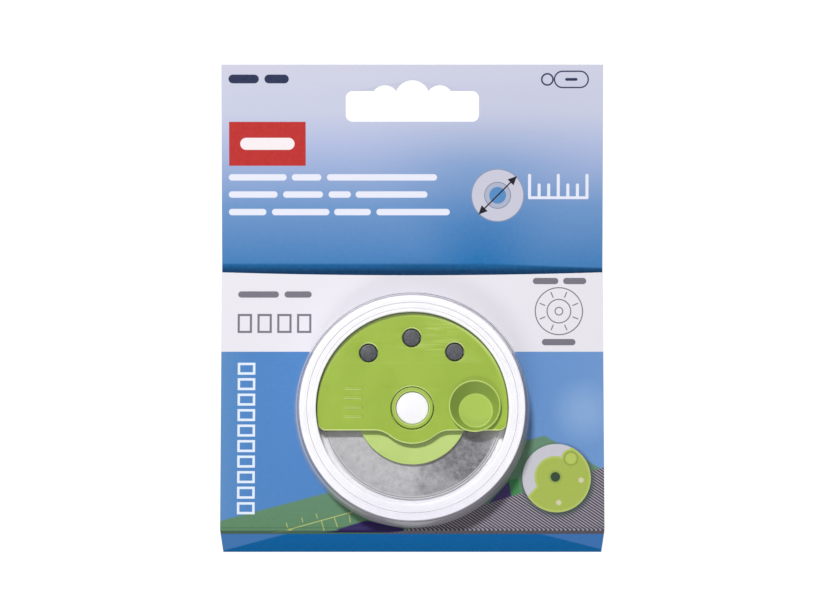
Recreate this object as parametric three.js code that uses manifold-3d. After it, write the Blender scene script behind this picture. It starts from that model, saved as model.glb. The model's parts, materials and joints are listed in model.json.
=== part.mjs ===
// A hanging retail pack for one round 45 mm cutter blade: a folded card with a peg slot and a
// round window, a plastic case held in the window, and in the case a finger-cup blade holder
// with three magnets that carries the blade.
// Millimetres. +Z is up and the front faces -Y. The origin is where a peg bears, at the peak of
// the slot's middle bump, halfway through the back card's thickness.
import * as THREE from "three";
import { mergeVertices } from "three/addons/utils/BufferGeometryUtils.js";
import Module from "manifold-3d";

const wasm = await Module();
wasm.setup();

// ---- driving dimensions ----

// Card: a back panel, a sloping bottom spine and a front flap, creased from one sheet.
const CARD = {
  width: 95.5,
  height: 122.5,
  thickness: 0.5,
  topAboveSlot: 3.9,
  creaseGap: 0.3,
};
const FLAP = {
  length: 64.5,
  leanDeg: 10,
  topBelowCardTop: 52,
  standOff: 1.0,
  topEdgeSag: 0.75,
  windowRadius: 29.1,
  windowCentre: 30,
};
const SLOT = {
  halfWidth: 16.7,
  bottom: -10.35,
  shoulder: -2.7,
  cornerRadius: 1.7,
  middleBump: 4.05,
  sideBump: 9.65,
  sideBumpRise: 1.45,
};
const GLUE = { width: 9, height: 2.6, thickness: 0.35, fromEdge: 3, belowFlapTop: 0.8 };

// Case: heights are along its axis, from the middle of the flap's thickness.
const TRAY = {
  flangeRadius: 31,
  flangeFlat: 29.4,
  flangeBack: -1.25,
  flangeFront: -0.6,
  wallRadius: 28.6,
  rimTop: 6.6,
  rimOuter: 28,
  rimInner: 23.9,
  wellRadius: 23.8,
  floorTop: 2.3,
  postRadius: 3.9,
  postTop: 4.9,
  wall: 0.8,
};
const LID = {
  baseRadius: 29.5,
  topRadius: 28.45,
  base: 0.65,
  top: 8.25,
  wall: 0.5,
  stepRadii: [26.2, 24.85],
  stepDrop: 0.3,
};
const BLADE = { radius: 22.5, bore: 4.1, bottom: 2.6, thickness: 0.3, bevel: 0.8, edge: 0.08 };
const HUB = { radius: 13.95, bottom: 3.2, thickness: 0.5, sleeveRadius: 5.15, bore: 4.1 };
const PLATE = {
  radius: 23.55,
  top: 5.3,
  thickness: 1.3,
  straightEdge: 5.6,
  lobeRadius: 8.9,
  lobeFillet: 6,
  cornerRadius: 2,
  bevel: 0.25,
  skirtWall: 0.7,
  skirtBottom: 2.6,
  skirtEnd: -2,
  hubClearance: 0.2,
};
const CUP = {
  x: 15.45,
  y: 0.45,
  rimRadius: 6.15,
  rimTop: 6.4,
  lip: 0.35,
  floorRadius: 4.2,
  floorTop: 4,
  floorShift: [0.3, -1],
  wall: 0.8,
};
const MAGNET = { radius: 2.05, orbit: 17.5, top: 5.15, bottom: 3.2, clearance: 0.3, boss: 0.6 };
const MAGNET_ANGLES = { left: 128.4, middle: 90.5, right: 53 };
const GRIP_RIBS = { x: -14.6, y: 1.4, length: 4.6, width: 0.8, pitch: 2.3, count: 4, rise: 0.2 };

const BIG_SEGMENTS = 80;
const SMALL_SEGMENTS = 36;
const ARC_STEPS = 5;
const OVERSHOOT = 1;

// ---- derived places ----

const lean = THREE.MathUtils.degToRad(FLAP.leanDeg);
const cardTop = CARD.topAboveSlot;
const halfThickness = CARD.thickness / 2;
const flapTop = {
  y: -CARD.thickness - FLAP.standOff,
  z: cardTop - FLAP.topBelowCardTop,
};
const frontFold = {
  y: flapTop.y - FLAP.length * Math.sin(lean),
  z: flapTop.z - FLAP.length * Math.cos(lean),
};
const rearFold = { y: 0, z: cardTop - CARD.height };
const panelStart = halfThickness + CARD.creaseGap;

// ---- materials ----

const paint = (color, roughness, metalness = 0, opacity = 1) =>
  new THREE.MeshStandardMaterial({
    color,
    roughness,
    metalness,
    opacity,
    transparent: opacity < 1,
  });
const MATERIALS = {
  card: paint(0x5289c5, 0.45),
  spine: paint(0x0064a5, 0.45),
  glue: paint(0xe8e2cf, 0.6),
  tray: paint(0xf4f2f6, 0.4),
  lid: paint(0xf5f7fa, 0.08, 0, 0.25),
  holder: paint(0xa9c24d, 0.42),
  hub: paint(0xb9d469, 0.4),
  magnet: paint(0x4b4d52, 0.5, 0.6),
  blade: paint(0xa6a8ac, 0.32, 1),
};

// ---- booleans ----

function solidOf(geometry) {
  const bare = geometry.clone();
  bare.deleteAttribute("normal");
  bare.deleteAttribute("uv");
  const merged = mergeVertices(bare, 1e-4);
  return new wasm.Manifold(
    new wasm.Mesh({
      numProp: 3,
      vertProperties: merged.attributes.position.array,
      triVerts: new Uint32Array(merged.index.array),
    }),
  );
}

function geometryOf(solid) {
  const mesh = solid.getMesh();
  const geometry = new THREE.BufferGeometry();
  geometry.setAttribute("position", new THREE.BufferAttribute(mesh.vertProperties, 3));
  geometry.setIndex(new THREE.BufferAttribute(mesh.triVerts, 1));
  geometry.computeVertexNormals();
  return geometry;
}

const join = (...geometries) =>
  geometryOf(geometries.map(solidOf).reduce((whole, next) => whole.add(next)));

const cut = (body, ...tools) =>
  geometryOf(tools.map(solidOf).reduce((rest, tool) => rest.subtract(tool), solidOf(body)));

// ---- shape helpers ----

// A turned piece about Z from a closed or axis-to-axis outline of [radius, height] points.
function turned(outline, segments = BIG_SEGMENTS) {
  const area = outline.reduce((sum, [r, z], i) => {
    const [nextR, nextZ] = outline[(i + 1) % outline.length];
    return sum + r * nextZ - nextR * z;
  }, 0);
  const points = outline.map(([r, z]) => new THREE.Vector2(r, z));
  if (area < 0) points.reverse();
  if (points[0].x > 0 || points.at(-1).x > 0) points.push(points[0].clone());
  return new THREE.LatheGeometry(points, segments).rotateX(Math.PI / 2);
}

function drum(radius, bottom, top, x = 0, y = 0, segments = SMALL_SEGMENTS) {
  const geometry = new THREE.CylinderGeometry(radius, radius, top - bottom, segments);
  return geometry.rotateX(Math.PI / 2).translate(x, y, (top + bottom) / 2);
}

// A cone between two levels whose lower circle is shifted sideways from its upper one.
function skewCone(upper, lower) {
  const height = upper.z - lower.z;
  const geometry = new THREE.CylinderGeometry(
    upper.radius,
    lower.radius,
    height,
    SMALL_SEGMENTS,
  ).rotateX(Math.PI / 2);
  const slide = new THREE.Matrix4().set(
    1, 0, (upper.x - lower.x) / height, (upper.x + lower.x) / 2,
    0, 1, (upper.y - lower.y) / height, (upper.y + lower.y) / 2,
    0, 0, 1, (upper.z + lower.z) / 2,
    0, 0, 0, 1,
  );
  return geometry.applyMatrix4(slide);
}

function block(minimum, maximum) {
  const size = maximum.map((high, i) => high - minimum[i]);
  const centre = maximum.map((high, i) => (high + minimum[i]) / 2);
  return new THREE.BoxGeometry(...size).translate(...centre);
}

function extruded(shape, bottom, top) {
  return new THREE.ExtrudeGeometry(shape, {
    depth: top - bottom,
    bevelEnabled: false,
    curveSegments: ARC_STEPS,
  }).translate(0, 0, bottom);
}

// An arc through as many equal parts as keep it round at the fixed step count.
function addArc(path, x, y, radius, from, to, parts = 1) {
  const step = (to - from) / parts;
  for (let i = 0; i < parts; i++) {
    path.absarc(x, y, radius, from + i * step, from + (i + 1) * step, step < 0);
  }
}

// ---- folded card ----

// A bump of the peg slot's top edge: the arc over a chord from one x to a smaller one.
function addBump(path, fromX, toX, chordZ, rise) {
  const half = (fromX - toX) / 2;
  const radius = (half * half + rise * rise) / (2 * rise);
  const centreX = (fromX + toX) / 2;
  const centreZ = chordZ + rise - radius;
  const start = Math.atan2(chordZ - centreZ, half);
  addArc(path, centreX, centreZ, radius, start, Math.PI - start);
}

function slotOutline() {
  const { halfWidth, bottom, shoulder, cornerRadius, middleBump, sideBump, sideBumpRise } = SLOT;
  const inX = halfWidth - cornerRadius;
  const path = new THREE.Path();
  path.moveTo(-inX, bottom);
  addArc(path, inX, bottom + cornerRadius, cornerRadius, -Math.PI / 2, 0);
  addArc(path, inX, shoulder - cornerRadius, cornerRadius, 0, Math.PI / 2);
  path.lineTo(sideBump, shoulder);
  addBump(path, sideBump, middleBump, shoulder, sideBumpRise);
  addBump(path, middleBump, -middleBump, shoulder, -shoulder);
  addBump(path, -middleBump, -sideBump, shoulder, sideBumpRise);
  addArc(path, -inX, shoulder - cornerRadius, cornerRadius, Math.PI / 2, Math.PI);
  addArc(path, -inX, bottom + cornerRadius, cornerRadius, Math.PI, 1.5 * Math.PI);
  return path;
}

// Drawn in the card's own plane: x across, y up, z out of its front.
function backCard() {
  const half = CARD.width / 2;
  const bottom = rearFold.z + panelStart;
  const shape = new THREE.Shape();
  shape.moveTo(-half, bottom);
  shape.lineTo(half, bottom);
  shape.lineTo(half, cardTop);
  shape.lineTo(-half, cardTop);
  shape.closePath();
  shape.holes.push(slotOutline());
  return extruded(shape, -halfThickness, halfThickness);
}

// A hot-melt strip on the card's front face, behind one top corner of the flap.
function glueStrip(side) {
  const outer = CARD.width / 2 - GLUE.fromEdge;
  const [low, high] = side < 0 ? [-outer, GLUE.width - outer] : [outer - GLUE.width, outer];
  const top = flapTop.z - GLUE.belowFlapTop;
  const front = halfThickness + 0.05;
  return block([low, top - GLUE.height, front], [high, top, front + GLUE.thickness]);
}

// The spine's section runs between the two creases and is rounded about each of them.
// It is drawn with x back and y up, and spans the card's width.
function bottomSpine() {
  const along = Math.atan2(frontFold.z - rearFold.z, frontFold.y - rearFold.y);
  const shape = new THREE.Shape();
  addArc(shape, rearFold.y, rearFold.z, halfThickness, along + Math.PI / 2, along + 1.5 * Math.PI);
  addArc(shape, frontFold.y, frontFold.z, halfThickness, along - Math.PI / 2, along + Math.PI / 2);
  return extruded(shape, -CARD.width / 2, CARD.width / 2);
}

// Drawn in the flap's own plane: x across, y up from the front crease, z out of its front.
function frontFlap() {
  const half = CARD.width / 2;
  const shape = new THREE.Shape();
  shape.moveTo(-half, panelStart);
  shape.lineTo(half, panelStart);
  shape.lineTo(half, FLAP.length);
  shape.quadraticCurveTo(0, FLAP.length - 2 * FLAP.topEdgeSag, -half, FLAP.length);
  shape.closePath();
  const window = drum(
    FLAP.windowRadius,
    -OVERSHOOT,
    OVERSHOOT,
    0,
    FLAP.windowCentre,
    BIG_SEGMENTS,
  );
  return cut(extruded(shape, -halfThickness, halfThickness), window);
}

// ---- case ----

// One thin wall all through: flange, outer wall, rim, well, floor and hollow centre post.
function caseTray() {
  const t = TRAY;
  const chamfer = t.wall / 2;
  const body = turned([
    [0, t.postTop],
    [t.postRadius - chamfer, t.postTop],
    [t.postRadius, t.postTop - chamfer],
    [t.postRadius, t.floorTop],
    [t.wellRadius, t.floorTop],
    [t.rimInner, t.rimTop],
    [t.rimOuter, t.rimTop],
    [t.wallRadius, t.flangeFront],
    [t.flangeRadius, t.flangeFront],
    [t.flangeRadius, t.flangeBack],
    [t.wallRadius - t.wall, t.flangeBack],
    [t.rimOuter - t.wall, t.rimTop - t.wall],
    [t.rimInner + t.wall, t.rimTop - t.wall],
    [t.wellRadius + t.wall, t.floorTop - t.wall],
    [t.postRadius - t.wall, t.floorTop - t.wall],
    [t.postRadius - t.wall, t.postTop - t.wall],
    [0, t.postTop - t.wall],
  ]);
  const reach = t.flangeRadius + OVERSHOOT;
  const belowFlat = block(
    [-reach, -reach, t.flangeBack - OVERSHOOT],
    [reach, -t.flangeFlat, t.flangeFront + OVERSHOOT],
  );
  return cut(body, belowFlat);
}

// A clear lid: a tapered skirt, and a top that steps down twice to its flat middle.
function caseLid() {
  const l = LID;
  const [outerStep, innerStep] = l.stepRadii;
  const slope = l.stepDrop / 2;
  const middle = l.top - l.stepDrop;
  const centre = l.top - 2 * l.stepDrop;
  return turned([
    [0, centre],
    [innerStep - slope, centre],
    [innerStep, middle],
    [outerStep - slope, middle],
    [outerStep, l.top],
    [l.topRadius - l.stepDrop, l.top],
    [l.topRadius, l.top - l.stepDrop],
    [l.baseRadius, l.base],
    [l.baseRadius - l.wall, l.base],
    [l.topRadius - l.wall, l.top - l.wall],
    [outerStep + l.wall, l.top - l.wall],
    [outerStep + l.wall - slope, middle - l.wall],
    [innerStep + l.wall, middle - l.wall],
    [innerStep + l.wall - slope, centre - l.wall],
    [0, centre - l.wall],
  ]);
}

// ---- blade and its holder ----

function blade() {
  const b = BLADE;
  const top = b.bottom + b.thickness;
  const middle = b.bottom + b.thickness / 2;
  return turned([
    [b.bore, b.bottom],
    [b.radius - b.bevel, b.bottom],
    [b.radius, middle - b.edge / 2],
    [b.radius, middle + b.edge / 2],
    [b.radius - b.bevel, top],
    [b.bore, top],
  ]);
}

// The cup's outside, from its floor up to its lip.
function cupBody() {
  const [shiftX, shiftY] = CUP.floorShift;
  const floor = {
    x: CUP.x + shiftX,
    y: CUP.y + shiftY,
    z: CUP.floorTop - CUP.wall,
    radius: CUP.floorRadius + CUP.wall,
  };
  const rim = { x: CUP.x, y: CUP.y, z: CUP.rimTop, radius: CUP.rimRadius + CUP.lip };
  return skewCone(rim, floor);
}

// The cup's hollow, carried past its rim at the same slope so that the cut is clean.
function cupHollow() {
  const [shiftX, shiftY] = CUP.floorShift;
  const depth = CUP.rimTop - CUP.floorTop;
  const beyond = 1 + OVERSHOOT / depth;
  const floor = {
    x: CUP.x + shiftX,
    y: CUP.y + shiftY,
    z: CUP.floorTop,
    radius: CUP.floorRadius,
  };
  const mouth = {
    x: floor.x - shiftX * beyond,
    y: floor.y - shiftY * beyond,
    z: CUP.floorTop + depth * beyond,
    radius: CUP.floorRadius + (CUP.rimRadius - CUP.floorRadius) * beyond,
  };
  return skewCone(mouth, floor);
}

// A disc over the blade's middle, whose sleeve fills the plate's centre hole. A notch in the
// disc takes the bottom of the finger cup and keeps the two from turning.
function hubDisc() {
  const h = HUB;
  const body = turned([
    [h.bore, h.bottom],
    [h.radius, h.bottom],
    [h.radius, h.bottom + h.thickness],
    [h.sleeveRadius, h.bottom + h.thickness],
    [h.sleeveRadius, PLATE.top],
    [h.bore, PLATE.top],
  ]);
  const [shiftX, shiftY] = CUP.floorShift;
  const notchRadius = CUP.floorRadius + 2 * CUP.wall;
  const notch = drum(
    notchRadius,
    h.bottom - OVERSHOOT,
    h.bottom + h.thickness + OVERSHOOT,
    CUP.x + shiftX,
    CUP.y + shiftY,
  );
  return cut(body, notch);
}

// Three quarters of a disc: its straight lower edge dips round the centre hole in a lobe.
function plateOutline() {
  const { radius, straightEdge, lobeRadius, lobeFillet, cornerRadius } = PLATE;
  const filletY = straightEdge + lobeFillet;
  const filletX = Math.sqrt((lobeRadius + lobeFillet) ** 2 - filletY ** 2);
  const filletAngle = Math.atan2(filletY, filletX);
  const cornerY = straightEdge - cornerRadius;
  const cornerX = Math.sqrt((radius - cornerRadius) ** 2 - cornerY ** 2);
  const cornerAngle = Math.atan2(cornerY, cornerX);
  const shape = new THREE.Shape();
  shape.moveTo(-cornerX, -straightEdge);
  addArc(shape, -filletX, -filletY, lobeFillet, Math.PI / 2, filletAngle);
  addArc(shape, 0, 0, lobeRadius, Math.PI + filletAngle, 2 * Math.PI - filletAngle);
  addArc(shape, filletX, -filletY, lobeFillet, Math.PI - filletAngle, Math.PI / 2);
  addArc(shape, cornerX, -cornerY, cornerRadius, -Math.PI / 2, -cornerAngle);
  addArc(shape, 0, 0, radius, -cornerAngle, Math.PI + cornerAngle, 5);
  addArc(shape, -cornerX, -cornerY, cornerRadius, Math.PI + cornerAngle, 1.5 * Math.PI);
  return shape;
}

// The plate's sheet with its upper edge bevelled, cut flat underneath.
function plateSheet() {
  const { top, thickness, bevel } = PLATE;
  const bottom = top - thickness;
  const sheet = new THREE.ExtrudeGeometry(plateOutline(), {
    depth: thickness,
    bevelEnabled: true,
    bevelThickness: bevel,
    bevelSize: bevel,
    bevelOffset: -bevel,
    bevelSegments: 2,
    curveSegments: ARC_STEPS,
  }).translate(0, 0, bottom - bevel);
  const reach = PLATE.radius + OVERSHOOT;
  const under = block([-reach, -reach, bottom - OVERSHOOT], [reach, reach, bottom]);
  return cut(sheet, under);
}

// A wall under the plate's round edge that guards the blade's cutting edge.
function plateSkirt() {
  const { radius, skirtWall, skirtBottom, skirtEnd, top, thickness } = PLATE;
  const ring = turned([
    [radius - skirtWall, skirtBottom],
    [radius, skirtBottom],
    [radius, top - thickness / 2],
    [radius - skirtWall, top - thickness / 2],
  ]);
  const reach = radius + OVERSHOOT;
  return cut(ring, block([-reach, -reach, 0], [reach, skirtEnd, top]));
}

function magnetPlace(angleDeg) {
  const angle = THREE.MathUtils.degToRad(angleDeg);
  return [MAGNET.orbit * Math.cos(angle), MAGNET.orbit * Math.sin(angle)];
}

// Plain raised ribs for the thumb, a stack of short bars.
function gripRibs() {
  const { x, y, length, width, pitch, count, rise } = GRIP_RIBS;
  return Array.from({ length: count }, (_, i) => {
    const ribY = y + (i - (count - 1) / 2) * pitch;
    return block(
      [x - length / 2, ribY - width / 2, PLATE.top - rise],
      [x + length / 2, ribY + width / 2, PLATE.top + rise],
    );
  });
}

function holderPlate() {
  const places = Object.values(MAGNET_ANGLES).map(magnetPlace);
  const pocket = MAGNET.radius + MAGNET.clearance;
  const underside = PLATE.top - PLATE.thickness;
  const bosses = places.map(([x, y]) =>
    drum(pocket + MAGNET.boss, MAGNET.bottom, underside + MAGNET.boss, x, y),
  );
  const pockets = places.map(([x, y]) => drum(pocket, 0, PLATE.top + OVERSHOOT, x, y));
  const hubHole = drum(HUB.sleeveRadius + PLATE.hubClearance, 0, PLATE.top + OVERSHOOT);
  const body = join(plateSheet(), plateSkirt(), cupBody(), ...bosses, ...gripRibs());
  return cut(body, cupHollow(), hubHole, ...pockets);
}

function magnet(angleDeg) {
  return drum(MAGNET.radius, MAGNET.bottom, MAGNET.top, ...magnetPlace(angleDeg));
}

// ---- assembly ----

function piece(name, geometry, material) {
  const mesh = new THREE.Mesh(geometry, material);
  mesh.name = name;
  return mesh;
}

const card = new THREE.Group();
card.rotation.x = Math.PI / 2;
card.add(
  piece("back_card", backCard(), MATERIALS.card),
  piece("glue_strip_left", glueStrip(-1), MATERIALS.glue),
  piece("glue_strip_right", glueStrip(1), MATERIALS.glue),
);

// The spine is drawn in the side view, so its group turns that view's plane square to X.
const spine = new THREE.Group();
spine.rotation.set(Math.PI / 2, Math.PI / 2, 0);
spine.add(piece("bottom_spine", bottomSpine(), MATERIALS.spine));

const holder = new THREE.Group();
holder.add(
  piece("holder_plate", holderPlate(), MATERIALS.holder),
  piece("hub_disc", hubDisc(), MATERIALS.hub),
  piece("blade", blade(), MATERIALS.blade),
);
for (const [side, angle] of Object.entries(MAGNET_ANGLES)) {
  holder.add(piece(`magnet_${side}`, magnet(angle), MATERIALS.magnet));
}

const blisterCase = new THREE.Group();
blisterCase.position.y = FLAP.windowCentre;
blisterCase.add(
  piece("case_tray", caseTray(), MATERIALS.tray),
  piece("case_lid", caseLid(), MATERIALS.lid),
  holder,
);

const flap = new THREE.Group();
flap.position.set(0, frontFold.y, frontFold.z);
flap.rotation.x = Math.PI / 2 - lean;
flap.add(piece("front_flap", frontFlap(), MATERIALS.card), blisterCase);

const pack = new THREE.Group();
pack.add(card, spine, flap);

export default pack;
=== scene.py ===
"""Looks for a hanging retail pack: a folded card that holds a cased rotary cutter blade."""

import json
import math

import bmesh
import bpy
from mathutils import Matrix, Vector


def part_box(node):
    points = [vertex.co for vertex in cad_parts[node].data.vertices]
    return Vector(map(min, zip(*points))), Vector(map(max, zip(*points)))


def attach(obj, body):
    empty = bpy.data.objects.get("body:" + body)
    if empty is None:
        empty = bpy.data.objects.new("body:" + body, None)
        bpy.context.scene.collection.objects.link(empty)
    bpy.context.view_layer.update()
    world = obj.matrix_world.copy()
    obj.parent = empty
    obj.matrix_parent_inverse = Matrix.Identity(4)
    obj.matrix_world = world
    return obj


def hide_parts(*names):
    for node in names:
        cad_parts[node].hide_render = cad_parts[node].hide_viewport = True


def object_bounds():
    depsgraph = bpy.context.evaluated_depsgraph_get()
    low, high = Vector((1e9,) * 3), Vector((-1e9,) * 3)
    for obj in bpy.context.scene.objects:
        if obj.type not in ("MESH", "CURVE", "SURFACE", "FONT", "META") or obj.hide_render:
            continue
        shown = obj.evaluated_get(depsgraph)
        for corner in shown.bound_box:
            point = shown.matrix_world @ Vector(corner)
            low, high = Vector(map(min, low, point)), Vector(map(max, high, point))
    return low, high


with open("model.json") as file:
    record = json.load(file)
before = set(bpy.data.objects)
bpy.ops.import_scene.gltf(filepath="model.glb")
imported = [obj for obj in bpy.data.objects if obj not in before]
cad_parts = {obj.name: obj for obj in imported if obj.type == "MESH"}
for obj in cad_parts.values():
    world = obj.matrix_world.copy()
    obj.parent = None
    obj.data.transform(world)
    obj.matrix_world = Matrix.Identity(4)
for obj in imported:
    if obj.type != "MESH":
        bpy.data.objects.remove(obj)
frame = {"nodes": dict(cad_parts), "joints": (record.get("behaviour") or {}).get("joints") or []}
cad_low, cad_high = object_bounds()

MM = 0.001
scene = bpy.context.scene

# ---- frames of the moving bodies ----

JOINTS = {joint["name"]: joint for joint in frame["joints"]}
ACROSS = Vector((1, 0, 0))
CASE_AXIS = Vector(JOINTS["lid_pull"]["axis"]).normalized()
UP_FLAP = CASE_AXIS.cross(ACROSS)
FRONT_FOLD = Vector(JOINTS["flap_fold"]["pos_m"])
REAR_FOLD = Vector(JOINTS["spine_fold"]["pos_m"])
BLADE_MIDDLE = Vector(JOINTS["blade_spin"]["pos_m"])


def frame_at(origin, x_axis, y_axis, z_axis):
    """The matrix of a local frame whose axes and origin are given in the row frame."""
    axes = Matrix((x_axis, y_axis, z_axis)).transposed()
    return Matrix.Translation(origin) @ axes.to_4x4()


# ---- shapes, in millimetres: flat sheets in their own plane, the case about its own axis ----

CARD_HALF_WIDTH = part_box("back_card")[1].x / MM
CARD_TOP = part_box("back_card")[1].z / MM
CARD_HALF_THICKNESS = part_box("back_card")[1].y / MM
EDGE_ROUND = 0.05
FOLD_OVERLAP = 0.04
SLOT = {
    "half_width": 16.7,
    "bottom": -10.35,
    "shoulder": -2.7,
    "corner": 1.7,
    "middle_bump": 4.05,
    "side_bump": 9.65,
    "side_rise": 1.45,
}
FLAP_LENGTH = 64.5
FLAP_SAG = 0.75
SAG_STEPS = 48
WINDOW_RADIUS = 29.1
BLADE_HEIGHT = 2.75

TRAY_PROFILE = [
    (0, 4.9, 0),
    (4, 4.9, 0.2),
    (4, 2.3, 0.2),
    (23.8, 2.3, 0.2),
    (23.9, 6.6, 0.2),
    (28, 6.6, 0.3),
    (28.6, -0.6, 0.2),
    (31, -0.6, 0.15),
    (31, -1.25, 0.15),
    (27.8, -1.25, 0.2),
    (27.2, 5.8, 0.3),
    (24.7, 5.8, 0.2),
    (24.6, 1.5, 0.3),
    (3.1, 1.5, 0.3),
    (3.1, 4.1, 0.3),
    (0, 4.1, 0),
]
TRAY_FLAT = -29.4
LID_PROFILE = [
    (0, 7.65, 0),
    (24.7, 7.65, 0.12),
    (24.85, 7.95, 0.12),
    (26.05, 7.95, 0.12),
    (26.2, 8.25, 0.12),
    (28.45, 8.25, 0.35),
    (29.5, 0.65, 0.1),
    (29, 0.65, 0.1),
    (27.95, 7.75, 0.3),
    (26.7, 7.75, 0.1),
    (26.55, 7.45, 0.1),
    (25.35, 7.45, 0.1),
    (25.2, 7.15, 0.1),
    (0, 7.15, 0),
]
BLADE_PROFILE = [
    (4.1, 2.6, 0.04),
    (21.7, 2.6, 0),
    (22.5, 2.71, 0),
    (22.5, 2.79, 0),
    (21.7, 2.9, 0),
    (4.1, 2.9, 0.04),
]
HUB_PROFILE = [
    (4.1, 3.2, 0.1),
    (13.95, 3.2, 0.15),
    (13.95, 3.7, 0.15),
    (5.15, 3.7, 0.1),
    (5.15, 5.3, 0.2),
    (4.1, 5.3, 0.2),
]
MAGNET_PROFILE = [(0, 5.15, 0), (2.05, 5.15, 0.2), (2.05, 3.2, 0.15), (0, 3.2, 0)]
BOSS_PROFILE = [(2.35, 3.2, 0.1), (2.95, 3.2, 0.1), (2.95, 4.7, 0), (2.35, 4.7, 0)]
MAGNETS = {"magnet_left": 128.4, "magnet_middle": 90.5, "magnet_right": 53}
MAGNET_ORBIT = 17.5
MAGNET_POCKET = 2.35
PLATE = {"radius": 23.72, "edge": 5.6, "lobe": 8.9, "fillet": 6, "corner": 2, "top": 5.3}
PLATE_BOTTOM = 4
PLATE_ROUND = 0.3
HUB_HOLE = 5.35
SKIRT = {"radius": 23.5, "wall": 0.65, "bottom": 2.6, "top": 4.6, "round": 0.1, "end": -2}
CUP_CENTRE = (15.45, 0.45)
CUP_SHIFT = (0.3, -1)
CUP_FLOOR_CENTRE = (CUP_CENTRE[0] + CUP_SHIFT[0], CUP_CENTRE[1] + CUP_SHIFT[1])
CUP_TOP = 6.4
CUP_FLOOR = 4
CUP_OUTSIDE = [(0, 6.4, 0), (6.5, 6.4, 0.15), (5, 3.2, 0.5), (0, 3.2, 0)]
CUP_INSIDE = [(0, 7.4, 0), (6.96, 7.4, 0), (4.2, 4, 0.5), (0, 4, 0)]
HUB_NOTCH = [(0, 4.7, 0), (5.8, 4.7, 0), (5.8, 2.2, 0), (0, 2.2, 0)]
RIBS = {"x": -14.6, "y": 1.4, "length": 4.6, "width": 0.8, "pitch": 2.3, "count": 4}
RIB_SIDES = {"bottom": 5, "top": 5.5, "edge_round": 0.18}

SMOOTH_ANGLE = math.radians(32)
ROUND_STEPS = 4
TURN_SEGMENTS = 192
ARC_STEP = math.radians(2)


def rounded(profile):
    """The outline of (x, y, corner radius) points with each corner eased by a short curve."""
    points = []
    for i, (x, y, radius) in enumerate(profile):
        corner = Vector((x, y))
        before = Vector(profile[i - 1][:2]) - corner
        after = Vector(profile[(i + 1) % len(profile)][:2]) - corner
        if not radius:
            points.append(corner)
            continue
        reach = radius / math.tan(before.angle(after) / 2)
        reach = min(reach, 0.49 * before.length, 0.49 * after.length)
        start = corner + before.normalized() * reach
        end = corner + after.normalized() * reach
        for k in range(ROUND_STEPS + 1):
            s = k / ROUND_STEPS
            points.append(start * (1 - s) ** 2 + corner * 2 * s * (1 - s) + end * s * s)
    return points


def arc(x, y, radius, start, end):
    """Points on an arc, both ends included."""
    count = max(2, math.ceil(abs(end - start) / ARC_STEP))
    angles = [start + (end - start) * i / count for i in range(count + 1)]
    return [(x + radius * math.cos(a), y + radius * math.sin(a)) for a in angles]


def without_repeats(points):
    return [p for i, p in enumerate(points) if math.dist(p, points[i - 1]) > 1e-4]


def bump_arc(from_x, to_x, chord, rise):
    """The arc over a chord of the peg slot, from one x to a smaller one."""
    half = (from_x - to_x) / 2
    radius = (half * half + rise * rise) / (2 * rise)
    centre = chord + rise - radius
    start = math.atan2(chord - centre, half)
    return arc((from_x + to_x) / 2, centre, radius, start, math.pi - start)


def slot_outline():
    """The peg slot: a rounded oblong with a large bump between two small ones on top."""
    s = SLOT
    inner = s["half_width"] - s["corner"]
    low, high = s["bottom"] + s["corner"], s["shoulder"] - s["corner"]
    quarter = math.pi / 2
    return without_repeats(
        arc(inner, low, s["corner"], -quarter, 0)
        + arc(inner, high, s["corner"], 0, quarter)
        + bump_arc(s["side_bump"], s["middle_bump"], s["shoulder"], s["side_rise"])
        + bump_arc(s["middle_bump"], -s["middle_bump"], s["shoulder"], -s["shoulder"])
        + bump_arc(-s["middle_bump"], -s["side_bump"], s["shoulder"], s["side_rise"])
        + arc(-inner, high, s["corner"], quarter, 2 * quarter)
        + arc(-inner, low, s["corner"], 2 * quarter, 3 * quarter)
    )


def plate_outline():
    """Three quarters of a disc: its straight edge dips round the centre hole in a lobe."""
    p = PLATE
    fillet_y = p["edge"] + p["fillet"]
    fillet_x = math.sqrt((p["lobe"] + p["fillet"]) ** 2 - fillet_y**2)
    fillet_angle = math.atan2(fillet_y, fillet_x)
    corner_y = p["edge"] - p["corner"]
    corner_x = math.sqrt((p["radius"] - p["corner"]) ** 2 - corner_y**2)
    corner_angle = math.atan2(corner_y, corner_x)
    quarter = math.pi / 2
    return without_repeats(
        arc(-fillet_x, -fillet_y, p["fillet"], quarter, fillet_angle)
        + arc(0, 0, p["lobe"], math.pi + fillet_angle, 2 * math.pi - fillet_angle)
        + arc(fillet_x, -fillet_y, p["fillet"], math.pi - fillet_angle, quarter)
        + arc(corner_x, -corner_y, p["corner"], -quarter, -corner_angle)
        + arc(0, 0, p["radius"], -corner_angle, math.pi + corner_angle)
        + arc(-corner_x, -corner_y, p["corner"], math.pi + corner_angle, 3 * quarter)
    )


def circle(x, y, radius):
    return arc(x, y, radius, 0, 2 * math.pi)[:-1]


def sagging_edge(half_width):
    """The flap's top edge from right to left, lowest in its middle."""
    shares = [2 * i / SAG_STEPS for i in range(SAG_STEPS + 1)]
    return [(half_width * (1 - s), FLAP_LENGTH - FLAP_SAG * (1 - (1 - s) ** 2)) for s in shares]


def magnet_centre(angle):
    """A magnet's x and y from its angle in degrees."""
    turn = math.radians(angle)
    return MAGNET_ORBIT * math.cos(turn), MAGNET_ORBIT * math.sin(turn)


def skirt_outline():
    """The wall under the plate's round edge."""
    outer, inner = SKIRT["radius"], SKIRT["radius"] - SKIRT["wall"]
    start = math.asin(SKIRT["end"] / outer)
    return arc(0, 0, outer, start, math.pi - start) + arc(0, 0, inner, math.pi - start, start)


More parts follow.
